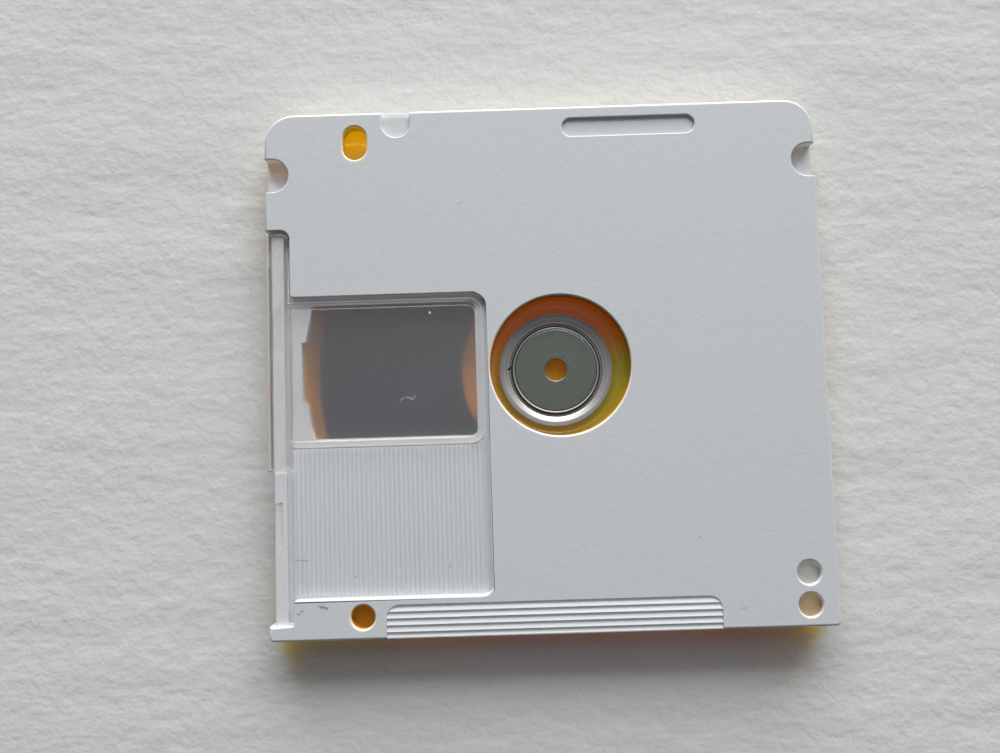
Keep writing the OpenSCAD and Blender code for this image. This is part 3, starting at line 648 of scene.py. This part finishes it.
# %% Steel plate
PLATE_Z = 0.05
PLATE_T = 0.3
DISH = 0.35
plate_profile = (
    [(1.425, DISH)]
    + [(1.6, DISH), (5.2, DISH), (5.25, DISH)]
    + [(5.45, DISH - 0.12), (5.55, 0.05), (5.6, 0)]
    + [(5.7, 0), (7.3, 0), (7.4, 0), (7.45, 0.05), (7.45, PLATE_T - 0.05), (7.4, PLATE_T)]
    + [(7.3, PLATE_T), (5.9, PLATE_T), (5.8, PLATE_T), (5.75, PLATE_T + 0.04), (5.7, PLATE_T + DISH - 0.14)]
    + arc(5.57, PLATE_T + DISH - 0.13, 0.12, 10, 100, 5)
    + [(5.46, PLATE_T + DISH - 0.05), (5.4, PLATE_T + DISH - 0.06), (5.34, PLATE_T + DISH - 0.01)]
    + [(5.29, PLATE_T + DISH), (5.2, PLATE_T + DISH), (1.6, PLATE_T + DISH), (1.5, PLATE_T + DISH)]
    + [(1.44, PLATE_T + DISH - 0.03), (1.425, PLATE_T + DISH - 0.08)]
)
plate = turned("steel_plate", [(r, z + PLATE_Z) for r, z in plate_profile])
finish_mesh(plate, FINISH["clamping_plate"], 50)
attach(plate, "disc")
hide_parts("clamping_plate")

# %% [markdown]
# The floor of the recess has a row of very fine straight ribs. They are all alike, so a Geometry
# Nodes tree makes one rounded rib and puts a copy of it on each point of a line.


# %% Ribs on the recess floor
def new_tree(name, inputs):
    """A Geometry Nodes tree with named inputs; gives the tree, its inputs and their identifiers."""
    tree = bpy.data.node_groups.new(name, "GeometryNodeTree")
    tree.interface.new_socket(name="Geometry", in_out="OUTPUT", socket_type="NodeSocketGeometry")
    sockets = {title: tree.interface.new_socket(name=title, in_out="INPUT", socket_type="NodeSocket" + kind).identifier
               for title, kind in inputs.items()}
    group = tree.nodes.new("NodeGroupInput")
    values = {title: Value(tree, group.outputs[title]) for title in inputs}
    return tree, values, sockets


def grow(name, tree, sockets, settings):
    """Runs a tree on an empty object and keeps the result as a plain mesh."""
    piece = bpy.data.objects.new(name, bpy.data.meshes.new(name))
    scene.collection.objects.link(piece)
    nodes = piece.modifiers.new("nodes", "NODES")
    nodes.node_group = tree
    for title, setting in settings.items():
        nodes[sockets[title]] = setting
    graph = bpy.context.evaluated_depsgraph_get()
    mesh = bpy.data.meshes.new_from_object(piece.evaluated_get(graph))
    piece.modifiers.clear()
    piece.data = mesh
    print(name, "faces:", len(mesh.polygons))
    return piece


def rib_tree():
    tree, value, sockets = new_tree("rib_row", {
        "Count": "Int", "Pitch": "Float", "Length": "Float", "Width": "Float", "Height": "Float",
        "Start": "Vector", "Finish": "Material"})
    bar = add_node(tree, "GeometryNodeMeshCylinder", {}, {"Vertices": 16, "Radius": 1.0, "Depth": 1.0})
    size = add_node(tree, "ShaderNodeCombineXYZ", {}, {
        "X": value["Width"] * 0.5, "Y": value["Height"], "Z": value["Length"]})
    bar = add_node(tree, "GeometryNodeTransform", {}, {"Geometry": bar, "Scale": size})
    bar = add_node(tree, "GeometryNodeTransform", {}, {"Geometry": bar, "Rotation": Euler((math.pi / 2, 0, 0))})
    step = add_node(tree, "ShaderNodeCombineXYZ", {}, {"X": value["Pitch"]})
    line = add_node(tree, "GeometryNodeMeshLine", {}, {
        "Count": value["Count"], "Start Location": value["Start"], "Offset": step})
    row = add_node(tree, "GeometryNodeInstanceOnPoints", {}, {"Points": line, "Instance": bar})
    row = add_node(tree, "GeometryNodeRealizeInstances", {}, {"Geometry": row})
    row = add_node(tree, "GeometryNodeSetMaterial", {}, {"Geometry": row, "Material": value["Finish"]})
    tree.links.new(row.socket, tree.nodes.new("NodeGroupOutput").inputs[0])
    return tree, sockets


RIB_PITCH = 0.6
RIB_FIRST = -32.9 + 0.35 + RIB_PITCH / 4
RIB_COUNT = 40
RIB_REAR, RIB_FRONT = RECESS_REAR + 0.25, -9.2
RECESS_Z = 4.05
ribs = grow("floor_ribs", *rib_tree(), {
    "Count": RIB_COUNT, "Pitch": RIB_PITCH * MM, "Length": (RIB_FRONT - RIB_REAR) * MM, "Width": 0.34 * MM,
    "Height": 0.055 * MM, "Start": (RIB_FIRST * MM, (RIB_FRONT + RIB_REAR) / 2 * MM, RECESS_Z * MM),
    "Finish": FINISH["lower_shell"]})
ribs.data.shade_smooth()
ribs.data.set_sharp_from_angle(angle=math.radians(40))
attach(ribs, "cartridge")

# %% [markdown]
# The photo was taken from above, a little behind and left of the middle, by a wide lens held
# about 11 cm over the cartridge.

# %% Camera
PHOTO = (1000, 753)
FOCAL_PX = 850
CAMERA_PLACE = (-5.563, -9.101, 113.911)
CAMERA_TURN = (4.0891, 0.3393, -1.7435)
camera_data = bpy.data.cameras.new("photo_camera")
camera_data.sensor_width = 36
camera_data.lens = FOCAL_PX / PHOTO[0] * camera_data.sensor_width
camera_data.clip_start = 0.001
camera = bpy.data.objects.new("photo_camera", camera_data)
camera.location = Vector(CAMERA_PLACE) * MM
camera.rotation_euler = Euler([math.radians(angle) for angle in CAMERA_TURN])
scene.collection.objects.link(camera)
scene.camera = camera

# %% Floor
FLOOR_HALF = 1.5
floor_mesh = bpy.data.meshes.new("floor")
floor_mesh.from_pydata([(x * FLOOR_HALF, y * FLOOR_HALF, -0.1 * MM) for x, y in ((-1, -1), (1, -1), (1, 1), (-1, 1))],
                       [], [(0, 1, 2, 3)])
floor = bpy.data.objects.new("floor", floor_mesh)
scene.collection.objects.link(floor)


def painted_table():
    mat, tree, out, place = material("painted_table")
    strokes = add_node(tree, "ShaderNodeMapping", {}, {"Vector": place, "Rotation": (0, 0, 0.6), "Scale": (0.03, 0.09, 0.05)})
    wave = noise(tree, strokes, 1.0, 4.0, 0.55)
    dents = noise(tree, place, 0.5, 4.0, 0.6)
    tone = noise(tree, place, 0.02, 3.0, 0.6)
    colour = mix_colour(tree, tone, (0.68, 0.69, 0.68, 1), (0.71, 0.71, 0.69, 1))
    height = wave * 3.0 + dents * 1.0
    principled(tree, out, Base_Color=colour, Roughness=0.85, Specular_IOR_Level=0.15, Normal=bump(tree, height, 0.7, 0.2))
    return mat


floor_mesh.materials.append(painted_table())

# %% [markdown]
# One large soft window lights the cartridge from beyond its leading edge, low enough for a long
# shadow at the rear. A faint second lamp stands for the wall over the window, and it softens the
# end of that shadow. The room overhead is dark, because the disc and the steel plate mirror it.

# %% Light
def area_lamp(name, place, width, height, energy):
    light = bpy.data.lights.new(name, "AREA")
    light.shape = "RECTANGLE"
    light.size = width
    light.size_y = height
    light.energy = energy
    lamp = bpy.data.objects.new(name, light)
    lamp.location = place
    lamp.rotation_euler = (-lamp.location).to_track_quat("-Z", "Y").to_euler()
    scene.collection.objects.link(lamp)
    return lamp


area_lamp("window", (0.24, 1.75, 0.68), 2.2, 1.3, 77)
area_lamp("wall_over_window", (0.24, 1.2, 1.6), 2.2, 1.0, 6.4)

world = bpy.data.worlds.new("room")
world.use_nodes = True
tree = world.node_tree
tree.nodes.clear()
direction = add_node(tree, "ShaderNodeTexCoord", output="Generated")
height = add_node(tree, "ShaderNodeSeparateXYZ", {}, {0: direction}, output="Z")
overhead = height.ramp(0.55, 0.97)
room = mix_colour(tree, overhead, (0.05, 0.052, 0.056, 1), (0.085, 0.09, 0.1, 1))
walls = height.ramp(0.15, 0.03)
room = mix_colour(tree, walls, room, (0.44, 0.45, 0.46, 1))
sky = add_node(tree, "ShaderNodeBackground", {}, {"Color": room, "Strength": 1.0})
tree.links.new(sky.socket, tree.nodes.new("ShaderNodeOutputWorld").inputs["Surface"])
scene.world = world
scene.view_settings.view_transform = "Standard"
